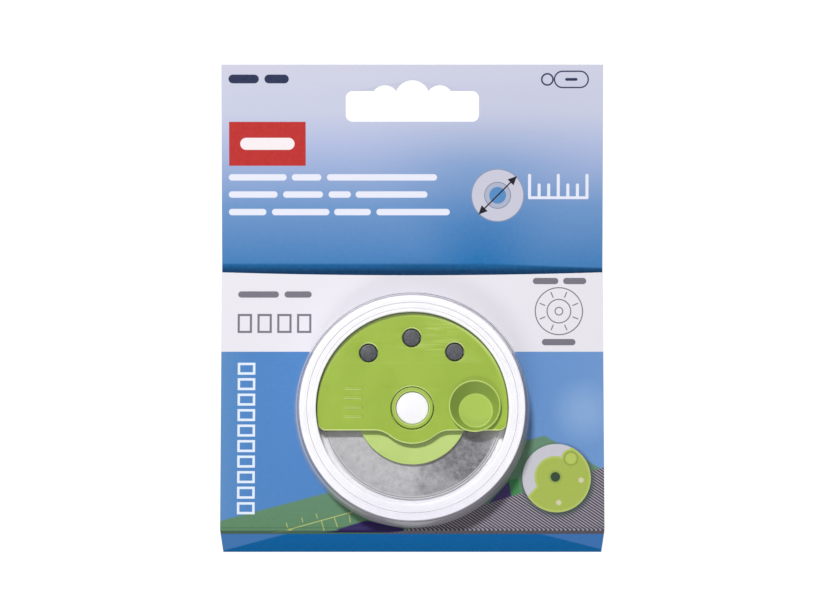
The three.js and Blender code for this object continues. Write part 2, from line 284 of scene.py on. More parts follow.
def rib_outline(y):
    """One grip rib with round ends."""
    radius, reach = RIBS["width"] / 2, (RIBS["length"] - RIBS["width"]) / 2
    quarter = math.pi / 2
    return without_repeats(
        arc(RIBS["x"] + reach, y, radius, -quarter, quarter)
        + arc(RIBS["x"] - reach, y, radius, quarter, 3 * quarter)
    )


# ---- mesh makers: each gives a closed mesh in metres ----


def finished_mesh(name, bm):
    bmesh.ops.recalc_face_normals(bm, faces=bm.faces)
    mesh = bpy.data.meshes.new(name)
    bm.to_mesh(mesh)
    bm.free()
    return mesh


def turned(name, profile, x=0, y=0, skew=None):
    """A piece turned about local Z. A skewed one leans as it goes down, for the finger cup."""
    bm = bmesh.new()
    rings = []
    for radius, height in rounded(profile):
        drop = min(1, (CUP_TOP - height) / (CUP_TOP - CUP_FLOOR)) if skew else 0
        cx = x + (skew[0] * drop if skew else 0)
        cy = y + (skew[1] * drop if skew else 0)
        count = TURN_SEGMENTS if radius > 1e-6 else 1
        angles = [2 * math.pi * i / TURN_SEGMENTS for i in range(count)]
        rings.append(
            [
                bm.verts.new(
                    (
                        (cx + radius * math.cos(a)) * MM,
                        (cy + radius * math.sin(a)) * MM,
                        height * MM,
                    )
                )
                for a in angles
            ]
        )
    for low, high in zip(rings, rings[1:] + rings[:1]):
        if len(low) == 1 and len(high) == 1:
            continue
        for i in range(TURN_SEGMENTS):
            j = (i + 1) % TURN_SEGMENTS
            loop = [low[i % len(low)], low[j % len(low)], high[j % len(high)], high[i % len(high)]]
            bm.faces.new(list(dict.fromkeys(loop)))
    return finished_mesh(name, bm)


def cut_sheet(name, outer, holes, bottom, top, edge_round):
    """A flat sheet in local XY with its outer and hole edges rounded."""
    curve = bpy.data.curves.new(name, "CURVE")
    curve.dimensions = "2D"
    curve.fill_mode = "BOTH"
    curve.extrude = ((top - bottom) / 2 - edge_round) * MM
    curve.bevel_depth = edge_round * MM
    curve.bevel_resolution = 2
    curve.offset = -edge_round * MM
    for loop in [outer, *holes]:
        spline = curve.splines.new("POLY")
        spline.points.add(len(loop) - 1)
        for point, (x, y) in zip(spline.points, loop):
            point.co = (x * MM, y * MM, 0, 1)
        spline.use_cyclic_u = True
    drawn = bpy.data.objects.new(name, curve)
    scene.collection.objects.link(drawn)
    mesh = evaluated_mesh(drawn)
    bpy.data.objects.remove(drawn)
    bm = bmesh.new()
    bm.from_mesh(mesh)
    bmesh.ops.remove_doubles(bm, verts=bm.verts, dist=1e-7)
    bmesh.ops.translate(bm, verts=bm.verts, vec=(0, 0, (top + bottom) / 2 * MM))
    return finished_mesh(name, bm)


def evaluated_mesh(thing):
    depsgraph = bpy.context.evaluated_depsgraph_get()
    return bpy.data.meshes.new_from_object(thing.evaluated_get(depsgraph))


def combined(mesh, *steps):
    """The mesh after a row of (operation, other mesh) booleans."""
    body = bpy.data.objects.new("body", mesh)
    scene.collection.objects.link(body)
    for operation, other in steps:
        tool = bpy.data.objects.new("tool", other)
        scene.collection.objects.link(tool)
        modifier = body.modifiers.new("combine", "BOOLEAN")
        modifier.operation = operation
        modifier.solver = "EXACT"
        modifier.object = tool
        made = evaluated_mesh(body)
        body.modifiers.clear()
        body.data = made
        bpy.data.objects.remove(tool)
    made = body.data
    bpy.data.objects.remove(body)
    return made


def spine_section(length, radius):
    """A strip's rounded section along local Y from 0 to length, as (y, z) points."""
    quarter = math.pi / 2
    return without_repeats(
        arc(length, 0, radius, -quarter, quarter) + arc(0, 0, radius, quarter, 3 * quarter)
    )


def swept_across(name, section, half_width):
    """A section in local YZ swept along X, its ends eased inwards a little."""
    bm = bmesh.new()
    rings = []
    for x, inset in (
        (-half_width, EDGE_ROUND),
        (-half_width + EDGE_ROUND, 0),
        (half_width - EDGE_ROUND, 0),
        (half_width, EDGE_ROUND),
    ):
        shrink = 1 - inset / CARD_HALF_THICKNESS
        rings.append([bm.verts.new((x * MM, y * MM, z * shrink * MM)) for y, z in section])
    for low, high in zip(rings, rings[1:]):
        for i in range(len(section)):
            j = (i + 1) % len(section)
            bm.faces.new((low[i], low[j], high[j], high[i]))
    bm.faces.new(rings[0])
    bm.faces.new(rings[-1])
    return finished_mesh(name, bm)


# ---- material graphs ----


def linear(red, green, blue):
    """A screen colour from 0 to 255 as the linear colour that a shader takes."""

    def channel(value):
        share = value / 255
        return share / 12.92 if share <= 0.04045 else ((share + 0.055) / 1.055) ** 2.4

    return (channel(red), channel(green), channel(blue), 1)


class Field:
    """A number that varies over a surface. Arithmetic on it adds Math nodes to its graph."""

    def __init__(self, graph, socket):
        self.graph, self.socket = graph, socket

    def math(self, operation, *others, clamp=False):
        return self.graph.math(operation, self, *others, clamp=clamp)

    def __add__(self, other):
        return self.math("ADD", other)

    def __sub__(self, other):
        return self.math("SUBTRACT", other)

    def __mul__(self, other):
        return self.math("MULTIPLY", other)

    def __neg__(self):
        return self.math("MULTIPLY", -1)

    def __abs__(self):
        return self.math("ABSOLUTE")

    def both(self, other):
        return self.math("MINIMUM", other)

    def either(self, other):
        return self.math("MAXIMUM", other)

    def outline(self, width):
        """The band of that width along the edge of this shape, on its inner side."""
        return self.graph.math("SUBTRACT", width / 2, abs(self - width / 2))


class Graph:
    """One material's nodes. Shapes are fields in millimetres, above zero inside the shape."""

    def __init__(self, name):
        self.material = bpy.data.materials.new(name)
        self.material.use_nodes = True
        self.tree = self.material.node_tree
        self.tree.nodes.clear()
        self.place = self.node("TexCoord")
        scaled = self.node("VectorMath", operation="SCALE")
        self.put(scaled.inputs[0], self.place.outputs["Object"])
        self.put(scaled.inputs[3], 1 / MM)
        self.point = scaled.outputs[0]
        self.x, self.y, self.z = self.split(self.point)

    def node(self, kind, **settings):
        made = self.tree.nodes.new("ShaderNode" + kind)
        for key, value in settings.items():
            setattr(made, key, value)
        return made

    def put(self, socket, value):
        """Links a field or socket, or sets a plain value."""
        if isinstance(value, Field):
            value = value.socket
        if isinstance(value, bpy.types.NodeSocket):
            self.tree.links.new(value, socket)
        else:
            socket.default_value = value

    def math(self, operation, *values, clamp=False):
        made = self.node("Math", operation=operation, use_clamp=clamp)
        for socket, value in zip(made.inputs, values):
            self.put(socket, value)
        return Field(self, made.outputs[0])

    def vector(self, operation, first, second=None, scale=None):
        made = self.node("VectorMath", operation=operation)
        self.put(made.inputs[0], first)
        if second is not None:
            self.put(made.inputs[1], second)
        if scale is not None:
            self.put(made.inputs[3], scale)
        return made.outputs

    def split(self, vector):
        """The three fields of a vector."""
        made = self.node("SeparateXYZ")
        self.put(made.inputs[0], vector)
        return [Field(self, socket) for socket in made.outputs]

    def normal(self):
        """The three fields of the surface's normal, in the piece's own frame."""
        return self.split(self.place.outputs["Normal"])

    def flat_point(self, x, y):
        joined = self.node("CombineXYZ")
        self.put(joined.inputs[0], x)
        self.put(joined.inputs[1], y)
        return joined.outputs[0]

    def noise(self, per_mm, detail=2, roughness=0.5, stretch=None, distortion=0):
        point = self.point
        if stretch:
            point = self.vector("MULTIPLY", point, stretch)[0]
        made = self.node("TexNoise")
        self.put(made.inputs["Vector"], point)
        made.inputs["Scale"].default_value = per_mm
        made.inputs["Detail"].default_value = detail
        made.inputs["Roughness"].default_value = roughness
        made.inputs["Distortion"].default_value = distortion
        return Field(self, made.outputs["Fac"])

    def ramp(self, value, stops):
        """The colour at a share from 0 to 1, through (share, colour) stops."""
        made = self.node("ValToRGB")
        elements = made.color_ramp.elements
        while len(elements) < len(stops):
            elements.new(0.5)
        for element, (place, colour) in zip(elements, stops):
            element.position = place
            element.color = linear(*colour)
        self.put(made.inputs[0], value)
        return made.outputs[0]

    def mix(self, share, first, second):
        made = self.node("Mix", data_type="RGBA")
        self.put(made.inputs[0], share)
        self.put(made.inputs[6], first)
        self.put(made.inputs[7], second)
        return made.outputs[2]

    def span(self, value, low, high):
        """0 where value is low and 1 where it is high, held beyond them."""
        made = self.node("MapRange")
        for socket, number in zip(made.inputs, (value, low, high, 0.0, 1.0)):
            self.put(socket, number)
        return Field(self, made.outputs[0])

    def smooth(self, share):
        """The same share from 0 to 1 with an eased start and end."""
        return share * share * (self.math("SUBTRACT", 3, share * 2))

    def cover(self, shape, soft=0.12, share=1.0):
        """How much of a point the shape covers, with an edge as wide as soft."""
        edge = self.math("MULTIPLY_ADD", shape, 1 / soft, 0.5, clamp=True)
        return edge if share == 1 else edge * share

    def painted(self, base, shape, colour, soft=0.12, share=1.0):
        colour = linear(*colour) if isinstance(colour, tuple) else colour
        return self.mix(self.cover(shape, soft, share), base, colour)

    def disc(self, point, centre, radius):
        return self.math("SUBTRACT", radius, self._value("DISTANCE", point, (*centre, 0)))

    def off_axis(self):
        """The distance from the piece's own Z axis."""
        return self._value("DISTANCE", self.flat_point(self.x, self.y), (0, 0, 0))

    def line(self, value, at, half_width, soft):
        """A thin line where the value is at that number."""
        return self.cover(self.math("SUBTRACT", half_width, abs(value - at)), soft)

    def bar(self, point, start, end, radius):
        """A straight stroke with round ends."""
        along = Vector(end) - Vector(start)
        weight = along / along.length_squared
        offset = self.vector("SUBTRACT", point, (*start, 0))[0]
        share = self._value("DOT_PRODUCT", offset, (*weight, 0)).math("MULTIPLY", 1, clamp=True)
        nearest = self.vector("SCALE", (*along, 0), scale=share)[0]
        return self.math("SUBTRACT", radius, self._value("DISTANCE", offset, nearest))

    def side(self, point, start, end):
        """Above zero to the right of the line from start to end."""
        along = (Vector(end) - Vector(start)).normalized()
        offset = self.vector("SUBTRACT", point, (*start, 0))[0]
        return self._value("DOT_PRODUCT", offset, (along.y, -along.x, 0))

    def polygon(self, point, corners):
        """A convex shape whose corners go round clockwise."""
        sides = [self.side(point, a, b) for a, b in zip(corners, corners[1:] + corners[:1])]
        shape = sides[0]
        for other in sides[1:]:
            shape = shape.both(other)
        return shape

    def _value(self, operation, first, second):
        return Field(self, self.vector(operation, first, second)[1])

    def bump(self, height, depth_mm, normal=None):
        made = self.node("Bump")
        made.inputs["Strength"].default_value = 1
        made.inputs["Distance"].default_value = depth_mm * MM
        self.put(made.inputs["Height"], height)
        if normal is not None:
            self.put(made.inputs["Normal"], normal)
        return made.outputs[0]

    def shader(self, **values):
        made = self.node("BsdfPrincipled")
        for name, value in values.items():
            self.put(made.inputs[name.replace("_", " ")], value)
        return made.outputs[0]

    def finish(self, surface):
        output = self.node("OutputMaterial")
        self.put(output.inputs["Surface"], surface)
        return self.material


# ---- printed artwork ----

WHITE_PRINT = (236, 238, 252)
NAVY_PRINT = (44, 52, 84)
GREY_PRINT = (120, 117, 128)
CELL_WHITE = (228, 238, 253)

CARD_GROUND = (-46.1, 3.9)
PALE_GROUND = [
    (0.0, (68, 128, 188)),
    (0.3, (115, 154, 205)),
    (0.6, (180, 191, 226)),
    (0.76, (203, 207, 229)),
    (1.0, (209, 210, 228)),
]
DEEP_GROUND = [
    (0.0, (34, 115, 180)),
    (0.2, (74, 131, 191)),
    (0.5, (136, 165, 210)),
    (0.76, (200, 204, 227)),
    (1.0, (208, 209, 228)),
]
DEEP_MIDDLE = 17.2
DEEP_FOOT = {"height": -46, "half_width": 16, "spread": 0.65}
# A band above the flap's top edge: partly print, partly painted shadow of the flap, darkest next
# to the flap's edge.
SHADE_LEVEL_EDGE = ((-48, -46), (36, -46))
SHADE_FALLING_EDGE = ((22, -46.1), (48, -47.1))
SHADE_BAND = (-48, -46)
SHADE_GROUND = [(0, (8, 62, 106)), (0.45, (14, 84, 136)), (1, (22, 99, 157))]
DESCRIPTION_BARS = [
    (-24.3, [(-46, -31.5), (-30.2, -22.8), (-21.4, 6.2)]),
    (-28.6, [(-46, -33.8), (-32.4, -22.4), (-21, -15.4), (-14.2, 3.8)]),
    (-33.0, [(-46, -36.6), (-35.2, -20.8), (-19.6, -10.4), (-9, 9.4)]),
]
NUMBER_BARS = [(0.3, [(-46, -38.4), (-37, -30.9)])]
BADGE = [(-45.4, -10.9), (-27.2, -10.9), (-27.2, -20.9), (-45.4, -20.9)]
BADGE_MARGIN = 0.5
BADGE_BAR = {"start": (-41.6, -15.9), "end": (-31, -15.9), "radius": 1.5}
TAG = {"start": (37.6, 0.2), "end": (42, 0.2), "radius": 2.2}
TAG_BAR = {"start": (38.6, 0.2), "end": (41, 0.2), "radius": 0.35}
TAG_RING = {"centre": (33.8, 0.2), "radius": 1.6}
BLADE_SIGN_CENTRE = (21.4, -28.8)
SCALE_SIGN_START = (29.4, -29.4)

FLAP_GROUND = [
    (0.0, (92, 140, 194)),
    (0.07, (78, 132, 194)),
    (0.38, (78, 132, 196)),
    (1.0, (110, 151, 206)),
]
GLOW = {"centre": (43, 29.5), "radius": 9}
CREASE_SHADE_HEIGHT = 0.55
WHITE_BAND_FROM = 44.5
CAPTION_BARS = [
    (58.9, [(-43.6, -33.4), (-32, -25.2)]),
    (62.3, [(30.2, 36.6), (37.8, 43.6)]),
    (46.9, [(32.4, 40.8)]),
]
COLUMN_CELLS = {
    "start": (-41.4, 5.4),
    "step": (0, 3.87),
    "half": (2.2, 1.5),
    "count": 10,
    "stroke": 0.6,
    "colour": CELL_WHITE,
}
ROW_CELLS = {
    "start": (-41.9, 51.6),
    "step": (4.95, 0),
    "half": (1.8, 2.4),
    "count": 4,
    "stroke": 0.55,
    "colour": GREY_PRINT,
}
RING_SIGN_CENTRE = (36.7, 54.7)

MAT_LEFT_EDGE = ((-47.2, 2.4), (33, 23.5))
MAT_RIGHT_EDGE = ((33, 23.5), (47.4, 15))
RULER_LINE = ((-34.5, -0.95), (-12, 5.3))
RULER_TICKS = [
    ((-22.6, 2.3), (0.7, -2.4)),
    ((-19.4, 3.1), (0.8, -2.3)),
    ((-15.8, 4.2), (0.4, -2.3)),
    ((-31, 0.7), (-0.3, 1.0)),
    ((-27.2, 2.0), (-0.3, 1.0)),
    ((-23.6, 3.0), (-0.3, 1.0)),
]
MAT_PATCHES = [
    ([(-22.5, -1), (-11.4, 2.4), (-2.1, 0.4), (-2.1, -1.2)], (48, 32, 92)),
    ([(16.5, 4), (24.2, 12.4), (25, 8.2)], (74, 62, 116)),
    ([(24, 12.4), (26.4, 12.9), (27, 8), (24.8, 7.6)], (66, 138, 82)),
]
CLOTH_EDGE = ((-5.3, -1), (47.75, 15.6))
TWILL_ANGLE = math.radians(34)


def word_bars(graph, point, base, lines, radius, colour):
    """Rows of plain bars in place of text: each line is (height, [(from x, to x), ...])."""
    shape = None
    for height, words in lines:
        for start, end in words:
            stroke = graph.bar(point, (start + radius, height), (end - radius, height), radius)
            shape = stroke if shape is None else shape.either(stroke)
    return graph.painted(base, shape, colour)


def card_art(graph):
    """The back card's front: a fading blue ground, print and painted shadow above the flap, text
    bars and a blade sign.
    """
    x, up = graph.x, graph.y
    point = graph.flat_point(x, up)
    share = graph.span(up, *CARD_GROUND)
    reach = (up - DEEP_FOOT["height"]) * DEEP_FOOT["spread"] + DEEP_FOOT["half_width"]
    aside = graph.math("DIVIDE", abs(x - DEEP_MIDDLE), reach)
    deeper = graph.smooth(graph.span(aside, 1, 0))
    base = graph.mix(deeper, graph.ramp(share, PALE_GROUND), graph.ramp(share, DEEP_GROUND))
    # The band above the flap: partly print, partly painted shadow that deepens towards the flap's
    # edge.
    level = graph.side(point, *SHADE_LEVEL_EDGE)
    falling = graph.side(point, *SHADE_FALLING_EDGE)
    shade = graph.ramp(graph.span(up, *SHADE_BAND), SHADE_GROUND)
    base = graph.painted(base, level.both(falling), shade, soft=0.5)
    base = word_bars(graph, point, base, DESCRIPTION_BARS, 0.8, WHITE_PRINT)
    base = word_bars(graph, point, base, NUMBER_BARS, 1.1, NAVY_PRINT)
    base = graph.painted(base, graph.polygon(point, BADGE) + BADGE_MARGIN, (192, 50, 48))
    base = graph.painted(base, graph.bar(point, **BADGE_BAR), (250, 240, 243))
    base = graph.painted(base, graph.bar(point, **TAG).outline(0.35), NAVY_PRINT)
    base = graph.painted(base, graph.disc(point, **TAG_RING).outline(0.4), NAVY_PRINT)
    base = graph.painted(base, graph.bar(point, **TAG_BAR), NAVY_PRINT)
    base = blade_sign(graph, point, base, BLADE_SIGN_CENTRE)
    return scale_sign(graph, point, base, SCALE_SIGN_START)


def blade_sign(graph, point, base, centre):
    """A round blade seen face on, with an arrow across it."""
    cx, cy = centre
    blade, middle = graph.disc(point, centre, 6.65), graph.disc(point, centre, 3.35)
    base = graph.painted(base, blade, (206, 206, 222))
    base = graph.painted(base, blade.outline(0.2), (126, 140, 172))
    base = graph.painted(base, middle, (178, 184, 206))
    base = graph.painted(base, middle.outline(0.15), (110, 122, 150))
    base = graph.painted(base, graph.disc(point, centre, 2.1), (88, 142, 198))
    reach, head, half = 4.85, 1.9, 0.75
    shape = graph.bar(point, (cx - 4, cy - 4), (cx + 4, cy + 4), 0.17)
    for sign in (-1, 1):
        tip = (cx + sign * reach, cy + sign * reach)
        back = reach - head / math.sqrt(2) * 1.2
        left = (cx + sign * back - half, cy + sign * back + half)
        right = (cx + sign * back + half, cy + sign * back - half)
        corners = [tip, right, left] if sign > 0 else [tip, left, right]
        shape = shape.either(graph.polygon(point, corners))
    return graph.painted(base, shape, (26, 26, 40))


def scale_sign(graph, point, base, start):
    """A plain measuring scale in place of the printed size."""
    x, y = start
    shape = graph.bar(point, (x, y), (x + 14.4, y), 0.35)
    for i in range(7):
        height = 5.6 if i % 3 == 0 else 3.2
        tick = graph.bar(point, (x + 2.4 * i, y), (x + 2.4 * i, y + height), 0.38)
        shape = shape.either(tick)
    return graph.painted(base, shape, WHITE_PRINT)


def flap_art(graph, x, up):
    """The flap's front: a white band with bars and a sign, then a cutting mat and cloth."""
    point = graph.flat_point(x, up)
    across = graph.span(x, -CARD_HALF_WIDTH, CARD_HALF_WIDTH)
    base = graph.ramp(across, FLAP_GROUND)
    glow = graph.span(graph.disc(point, **GLOW), 0, 7)
    base = graph.mix(glow * 0.8, base, linear(138, 172, 217))
    base = mat_and_cloth(graph, point, base)
    base = holder_picture(graph, point, base)
    # Painted shade: a faint dark line along the crease just above the fold.
    crease_shade = graph.math("SUBTRACT", 0.12, abs(up - CREASE_SHADE_HEIGHT))
    base = graph.painted(base, crease_shade, (40, 60, 50), soft=0.3, share=0.35)
    base = graph.painted(base, up - WHITE_BAND_FROM, (232, 229, 237))
    base = letter_cells(graph, point, base, **COLUMN_CELLS)
    base = letter_cells(graph, point, base, **ROW_CELLS)
    base = word_bars(graph, point, base, CAPTION_BARS, 0.8, GREY_PRINT)
    return ring_sign(graph, point, base, RING_SIGN_CENTRE)


def letter_cells(graph, point, base, start, step, half, count, stroke, colour):
    """A row of plain outlined cells in place of big letters."""
    shape = None
    for i in range(count):
        middle = (start[0] + step[0] * i, start[1] + step[1] * i, 0)
        x, y, _ = graph.split(graph.vector("SUBTRACT", point, middle)[0])
        inside_x = graph.math("SUBTRACT", half[0], abs(x))
        inside_y = graph.math("SUBTRACT", half[1], abs(y))
        cell = inside_x.both(inside_y).outline(stroke)
        shape = cell if shape is None else shape.either(cell)
    return graph.painted(base, shape, colour)


def ring_sign(graph, point, base, centre):
    """Rings and short rays, in place of the round sign beside the case."""
    shape = graph.disc(point, centre, 6.05).outline(0.28)
    shape = shape.either(graph.disc(point, centre, 3.1).outline(0.28))
    shape = shape.either(graph.disc(point, centre, 1.1).outline(0.28))
    for i in range(8):
        angle = math.pi * (i + 0.5) / 4
        along = Vector((math.cos(angle), math.sin(angle)))
        ray = graph.bar(point, Vector(centre) + along * 3.8, Vector(centre) + along * 5.1, 0.14)
        shape = shape.either(ray)
    return graph.painted(base, shape, GREY_PRINT)


def mat_and_cloth(graph, point, base):
    """A green cutting mat with a ruler line, and twill cloth across its corner."""
    mat = graph.side(point, *MAT_LEFT_EDGE).both(graph.side(point, *MAT_RIGHT_EDGE))
    lighter = graph.span(graph.y, 0, 12)
    green = graph.mix(lighter, linear(92, 134, 98), linear(100, 139, 112))
    base = graph.painted(base, mat, green, soft=0.5)
    ruler = graph.bar(point, *RULER_LINE, 0.11)
    for (x, y), (across, up) in RULER_TICKS:
        ruler = ruler.either(graph.bar(point, (x, y), (x + across, y + up), 0.1))
    base = graph.painted(base, ruler, (196, 205, 116), share=0.8)
    for corners, colour in MAT_PATCHES:
        base = graph.painted(base, graph.polygon(point, corners), colour, soft=0.3)
    cloth = graph.side(point, *CLOTH_EDGE)
    twill = graph.node("TexWave", wave_type="BANDS", bands_direction="Y")
    tilt = graph.node("VectorRotate", rotation_type="Z_AXIS")
    graph.put(tilt.inputs["Vector"], point)
    tilt.inputs["Angle"].default_value = TWILL_ANGLE
    graph.put(twill.inputs["Vector"], tilt.outputs[0])
    twill.inputs["Scale"].default_value = 0.52
    twill.inputs["Distortion"].default_value = 0.4
    twill.inputs["Detail Scale"].default_value = 2
    thread = Field(graph, twill.outputs["Fac"])
    weave = graph.mix(thread * thread, linear(64, 58, 78), linear(176, 170, 178))
    return graph.painted(base, cloth, weave, soft=0.3)


def holder_picture(graph, point, base):
    """A small picture of the blade in its finger-cup holder, lying aslant."""
    centre, hole, cup = (35.9, 12.9), (35.6, 13.2), (39.5, 17.8)
    shadow = graph.disc(point, (36.2, 12.4), 8.9)
    base = graph.painted(base, shadow, (60, 76, 72), soft=1.6)
    disc = graph.disc(point, centre, 8.5)
    base = graph.painted(base, disc, (201, 200, 210))
    body = graph.side(point, (29, 8.7), (38.9, 19.8)).either(graph.disc(point, hole, 5.2))
    body = body.both(disc).either(graph.disc(point, cup, 2.4))
    base = graph.painted(base, body, (168, 186, 84))
    base = graph.painted(base, body.outline(0.5), (190, 204, 112), share=0.6)
    base = graph.painted(base, graph.disc(point, hole, 1.7), (152, 172, 82))
    base = graph.painted(base, graph.disc(point, hole, 1.2), (52, 72, 54))
    base = graph.painted(base, graph.disc(point, cup, 1.8).outline(0.4), (140, 158, 66), soft=0.4)
    base = graph.painted(base, graph.disc(point, cup, 1.4), (184, 200, 98), soft=0.4)
    for dot in ((42, 12.4), (36.4, 6.8)):
        base = graph.painted(base, graph.disc(point, dot, 0.65), (214, 208, 176), soft=0.3)
    return base


# ---- materials ----


PRINT_SHADE = 0.2
PRINT_GLOSS = 0.08
LID_CORNER_SHADE_LINE = 28.36
LID_GLINT_FROM = 28.5
LID_STEP_SHADE_LINES = {"outer": 26.1, "inner": 24.7}
LID_TOP_FROM = 7.6
BLADE_BEVEL_FROM = 21.7
BLADE_GROOVE = 22.15
BLADE_RIM_FROM = 22.28
DARK_PATCH = {"centre": (13, -15), "radius": 9}
GLARE_PATCH = {"centre": (7, 17.5), "radius": 7}
CUP_MOUTH = 6.2
CUP_FLOOR_RADIUS = 4.2
SPINE_CORNERS = {"left": ((-48.5, -14.2), (-31.5, -2)), "right": ((31, -1.3), (48.5, -13.2))}
SPINE_ART_EDGE = 2


def coated_front(name, colour_of, roughness=0.5, shine=PRINT_GLOSS):
    """Printed, coated board: a faint unevenness in the ink and in the coating's gloss."""
    graph = Graph(name)
    colour = colour_of(graph)
    mottle = graph.noise(1.1, detail=4, roughness=0.7)
    colour = graph.mix(graph.span(mottle, 0.35, 0.75) * 0.018, colour, linear(255, 255, 255))
    gloss = graph.span(graph.noise(0.35, detail=3), 0.3, 0.7) * 0.1 + roughness
    relief = graph.noise(2.4, detail=5, roughness=0.65)
    return graph.finish(
        graph.shader(
            Base_Color=graph.mix(PRINT_SHADE, colour, (0, 0, 0, 1)),
            Roughness=gloss,
            Specular_IOR_Level=shine,
            Normal=graph.bump(relief, 0.006),
        )
    )


def board_back():
    """Uncoated greyish board with short fibres and a few dark flecks."""
    graph = Graph("board_back")
    fibre = graph.noise(3.2, detail=5, roughness=0.7, stretch=(0.25, 1.4, 1), distortion=0.8)
    colour = graph.mix(graph.span(fibre, 0.3, 0.7), linear(214, 211, 203), linear(228, 226, 220))
    fleck = graph.noise(1.7, detail=6, roughness=0.85)
    colour = graph.mix(graph.span(fleck, 0.68, 0.74) * 0.5, colour, linear(150, 145, 134))
    return graph.finish(
        graph.shader(Base_Color=colour, Roughness=0.82, Normal=graph.bump(fibre, 0.02))
    )


def board_edge():
    """The cut edge of the board, white with fine plies."""
    graph = Graph("board_edge")
    plies = graph.noise(2.0, detail=4, roughness=0.7, stretch=(0.4, 0.4, 9))
    colour = graph.mix(graph.span(plies, 0.3, 0.7), linear(222, 224, 228), linear(246, 246, 246))
    return graph.finish(
        graph.shader(Base_Color=colour, Roughness=0.75, Normal=graph.bump(plies, 0.02))
    )


def hot_melt():
    """Cream glue with soft lumps."""
    graph = Graph("hot_melt")
    lumps = graph.noise(0.9, detail=3)
    colour = graph.mix(graph.span(lumps, 0.3, 0.7), linear(222, 214, 186), linear(238, 233, 214))
    return graph.finish(
        graph.shader(Base_Color=colour, Roughness=0.38, Normal=graph.bump(lumps, 0.12))
    )


def white_plastic():
    """Thin formed white plastic: satin, slowly wavy, finely grained, greyer and lilac low down as
    painted shade and reflection.
    """
    graph = Graph("white_plastic")
    wave = graph.noise(0.16, detail=2)
    grain = graph.noise(4.5, detail=3, roughness=0.6)
    colour = graph.mix(graph.span(wave, 0.35, 0.65), linear(230, 229, 234), linear(235, 234, 238))
    # Painted shade low down, tinted lilac as a painted reflection of the printed flap.
    colour = graph.mix(graph.span(graph.y, -14, -27) * 0.5, colour, linear(212, 209, 222))
    gloss = graph.span(grain, 0.3, 0.7) * 0.12 + 0.26
    surface = graph.bump(grain, 0.004, graph.bump(wave, 0.12))
    return graph.finish(
        graph.shader(
            Base_Color=colour,
            Roughness=gloss,
            IOR=1.5,
            Subsurface_Weight=0.6,
            Subsurface_Radius=(1, 1, 1),
            Subsurface_Scale=1.2 * MM,
            Normal=surface,
        )
    )


def clear_plastic():
    """A clear formed lid: painted shade at its corner, painted dark lines at its steps and a
    painted highlight round its rim.
    """
    graph = Graph("clear_plastic")
    turning = graph.math("SUBTRACT", 1.0, abs(graph.normal()[2]))
    scuff = graph.noise(1.4, detail=5, roughness=0.75, stretch=(0.5, 2.2, 1), distortion=0.4)
    scuffed = graph.span(scuff, 0.62, 0.8) * 0.05
    radius = graph.off_axis()
    upper = graph.cover(graph.z - LID_TOP_FROM, 0.2)
    # Painted shade: a dark line at the lid's corner, over the gap between its wall and the tray's
    # rim.
    corner = graph.line(radius, LID_CORNER_SHADE_LINE, 0.09, 0.1) * upper
    # Painted highlight: a pale glint round the rim, reaching down the wall on the lit left side.
    painted_lit_side = graph.smooth(graph.span(graph.x, -4, -22)) * graph.cover(graph.z - 4.6, 0.8)
    painted_glint = graph.cover(radius - LID_GLINT_FROM, 0.1) * upper.either(painted_lit_side)
    # Painted dark lines at the two steps of the top, for the light that the steps bend.
    outer = graph.line(radius, LID_STEP_SHADE_LINES["outer"], 0.06, 0.08) * 0.45
    inner = graph.line(radius, LID_STEP_SHADE_LINES["inner"], 0.05, 0.08) * 0.4
    inner = inner * graph.span(graph.y, 2, 16)
    lines = outer.either(inner) * graph.cover(graph.z - 7, 0.2)
    weight = graph.node("LayerWeight")
    weight.inputs["Blend"].default_value = 0.5
    grazing = Field(graph, weight.outputs["Facing"])
    skirt = graph.span(turning, 0.5, 0.8) * (graph.span(grazing, 0.2, 0.75) * 0.62 + 0.18)
    film = grazing * 0.17 + scuffed * 0.5 + 0.012
    solid = skirt.either(corner * 0.85).either(painted_glint * 0.75).either(lines).either(film)
    # The body is dark in the painted shade and step lines and pale in the painted glint.
    dark = corner.either(lines * 2)
    body = graph.mix(painted_glint, linear(184, 181, 190), linear(244, 244, 249))
    body = graph.mix(dark, body, linear(96, 96, 104))
    wave = graph.noise(0.12, detail=2)
    return graph.finish(
        graph.shader(
            Base_Color=body,
            Roughness=0.14,
            IOR=1.5,
            Alpha=solid,
            Normal=graph.bump(wave, 0.1),
        )
    )


def lime_plastic(name, dark, light, marks=None):
    """Moulded coloured plastic: slow flow marks and a fine matt texture."""
    graph = Graph(name)
    flow = graph.noise(0.14, detail=3, roughness=0.55, distortion=0.6)
    grain = graph.noise(5.5, detail=3, roughness=0.6)
    colour = graph.mix(graph.span(flow, 0.3, 0.7), linear(*dark), linear(*light))
    if marks:
        colour = marks(graph, colour)
    gloss = graph.span(grain, 0.3, 0.7) * 0.12 + 0.34
    surface = graph.bump(grain, 0.006, graph.bump(flow, 0.05))
    return graph.finish(
        graph.shader(
            Base_Color=colour, Roughness=gloss, Specular_IOR_Level=0.3, Normal=surface
        )
    )


